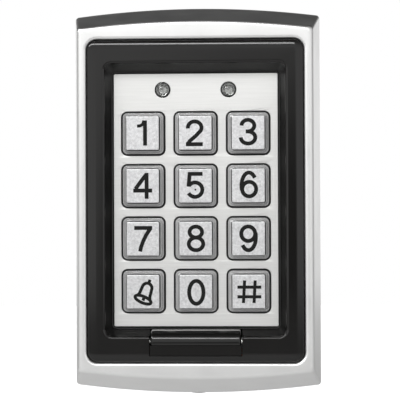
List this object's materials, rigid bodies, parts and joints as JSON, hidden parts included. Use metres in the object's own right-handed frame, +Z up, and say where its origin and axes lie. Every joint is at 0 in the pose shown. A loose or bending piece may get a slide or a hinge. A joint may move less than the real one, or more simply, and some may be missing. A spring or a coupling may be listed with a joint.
{
  "type": "keypad access reader",
  "caption": "Wall-mounted keypad access reader: satin metal housing, black bezel, recessed metal plate, lit keys with clear collars, status lights, hinge barrel.",
  "frame": {"origin": "on the wall face of the back cover, at the middle of its width and height", "axes": "X to the right seen from the front, +Z up, the front faces -Y and +Y goes into the wall"},
  "size_m": [0.076, 0.0272, 0.12],
  "materials": {
    "satin_housing_metal": "satin nickel plate over a smooth die casting",
    "black_bezel_plastic": "moulded black, semi-gloss",
    "brushed_plate_metal": "fine vertical brushing",
    "key_cap_metal": "bead-blasted metal with black infill legends",
    "clear_collar_plastic": "clear, slightly smoky, lets the backlight through",
    "clear_lens": "clear epoxy dome",
    "black_carrier_plastic": "moulded black",
    "silicone": "translucent grey silicone, matt",
    "black_rubber": "matt black rubber",
    "screw_steel": "zinc-plated steel",
    "polished_pin": "ground steel",
    "board_laminate": "green solder mask over glass laminate",
    "chip_plastic": "black epoxy moulding",
    "relay_plastic": "blue moulded cover",
    "header_plastic": "natural nylon",
    "gold_contact": "thin gold plating",
    "lamp_epoxy": "small clear-yellow lamp bodies",
    "coil_copper": "enamelled copper winding",
    "can_metal": "drawn can",
    "sensor_body": "coated sensor face",
    "cover_metal": "zinc-plated, dull grey"
  },
  "bodies": {
    "reader_body": {"front_housing": "satin_housing_metal", "bezel_frame": "black_bezel_plastic", "keypad_plate": "brushed_plate_metal", "plate_carrier": "black_carrier_plastic", "hinge_pin": "polished_pin", "status_light_left": "clear_lens", "status_light_right": "clear_lens", "key_mat": "silicone", "key_contacts": "gold_contact", "backlight_lamps": "lamp_epoxy", "main_board": "board_laminate", "antenna_coil": "coil_copper", "controller_chip": "chip_plastic", "reader_chip": "chip_plastic", "crystal": "can_metal", "lock_relay": "relay_plastic", "sounder": "chip_plastic", "filter_capacitor": "can_metal", "voltage_regulator": "chip_plastic", "cable_header": "header_plastic", "tamper_sensor": "sensor_body", "back_cover": "cover_metal", "wall_gasket": "black_rubber", "cable_grommet": "black_rubber", "security_screw": "screw_steel", "bezel_screws": "screw_steel", "carrier_screws": "screw_steel", "board_screws": "screw_steel"},
    "lid_hinge_barrel": {"hinge_barrel": "black_bezel_plastic"},
    "key_1": {"key_1_cap": "key_cap_metal", "key_1_collar": "clear_collar_plastic"},
    "key_2": {"key_2_cap": "key_cap_metal", "key_2_collar": "clear_collar_plastic"},
    "key_3": {"key_3_cap": "key_cap_metal", "key_3_collar": "clear_collar_plastic"},
    "key_4": {"key_4_cap": "key_cap_metal", "key_4_collar": "clear_collar_plastic"},
    "key_5": {"key_5_cap": "key_cap_metal", "key_5_collar": "clear_collar_plastic"},
    "key_6": {"key_6_cap": "key_cap_metal", "key_6_collar": "clear_collar_plastic"},
    "key_7": {"key_7_cap": "key_cap_metal", "key_7_collar": "clear_collar_plastic"},
    "key_8": {"key_8_cap": "key_cap_metal", "key_8_collar": "clear_collar_plastic"},
    "key_9": {"key_9_cap": "key_cap_metal", "key_9_collar": "clear_collar_plastic"},
    "key_bell": {"key_bell_cap": "key_cap_metal", "key_bell_collar": "clear_collar_plastic"},
    "key_0": {"key_0_cap": "key_cap_metal", "key_0_collar": "clear_collar_plastic"},
    "key_hash": {"key_hash_cap": "key_cap_metal", "key_hash_collar": "clear_collar_plastic"}
  },
  "joints": [
    {"name": "lid_hinge_turn", "type": "hinge", "parent": "reader_body", "child": "lid_hinge_barrel", "pos_m": [0, -0.02335, -0.04235], "axis": [1, 0, 0], "range_deg": [0, 110]},
    {"name": "key_1_press", "type": "slide", "parent": "reader_body", "child": "key_1", "axis": [0, 1, 0], "range_m": [0, 0.0009], "stiffness_N_per_m": 900, "springref_m": -0.0006, "deforming": ["key_mat"]},
    {"name": "key_2_press", "type": "slide", "parent": "reader_body", "child": "key_2", "axis": [0, 1, 0], "range_m": [0, 0.0009], "stiffness_N_per_m": 900, "springref_m": -0.0006, "deforming": ["key_mat"]},
    {"name": "key_3_press", "type": "slide", "parent": "reader_body", "child": "key_3", "axis": [0, 1, 0], "range_m": [0, 0.0009], "stiffness_N_per_m": 900, "springref_m": -0.0006, "deforming": ["key_mat"]},
    {"name": "key_4_press", "type": "slide", "parent": "reader_body", "child": "key_4", "axis": [0, 1, 0], "range_m": [0, 0.0009], "stiffness_N_per_m": 900, "springref_m": -0.0006, "deforming": ["key_mat"]},
    {"name": "key_5_press", "type": "slide", "parent": "reader_body", "child": "key_5", "axis": [0, 1, 0], "range_m": [0, 0.0009], "stiffness_N_per_m": 900, "springref_m": -0.0006, "deforming": ["key_mat"]},
    {"name": "key_6_press", "type": "slide", "parent": "reader_body", "child": "key_6", "axis": [0, 1, 0], "range_m": [0, 0.0009], "stiffness_N_per_m": 900, "springref_m": -0.0006, "deforming": ["key_mat"]},
    {"name": "key_7_press", "type": "slide", "parent": "reader_body", "child": "key_7", "axis": [0, 1, 0], "range_m": [0, 0.0009], "stiffness_N_per_m": 900, "springref_m": -0.0006, "deforming": ["key_mat"]},
    {"name": "key_8_press", "type": "slide", "parent": "reader_body", "child": "key_8", "axis": [0, 1, 0], "range_m": [0, 0.0009], "stiffness_N_per_m": 900, "springref_m": -0.0006, "deforming": ["key_mat"]},
    {"name": "key_9_press", "type": "slide", "parent": "reader_body", "child": "key_9", "axis": [0, 1, 0], "range_m": [0, 0.0009], "stiffness_N_per_m": 900, "springref_m": -0.0006, "deforming": ["key_mat"]},
    {"name": "key_bell_press", "type": "slide", "parent": "reader_body", "child": "key_bell", "axis": [0, 1, 0], "range_m": [0, 0.0009], "stiffness_N_per_m": 900, "springref_m": -0.0006, "deforming": ["key_mat"]},
    {"name": "key_0_press", "type": "slide", "parent": "reader_body", "child": "key_0", "axis": [0, 1, 0], "range_m": [0, 0.0009], "stiffness_N_per_m": 900, "springref_m": -0.0006, "deforming": ["key_mat"]},
    {"name": "key_hash_press", "type": "slide", "parent": "reader_body", "child": "key_hash", "axis": [0, 1, 0], "range_m": [0, 0.0009], "stiffness_N_per_m": 900, "springref_m": -0.0006, "deforming": ["key_mat"]}
  ]
}
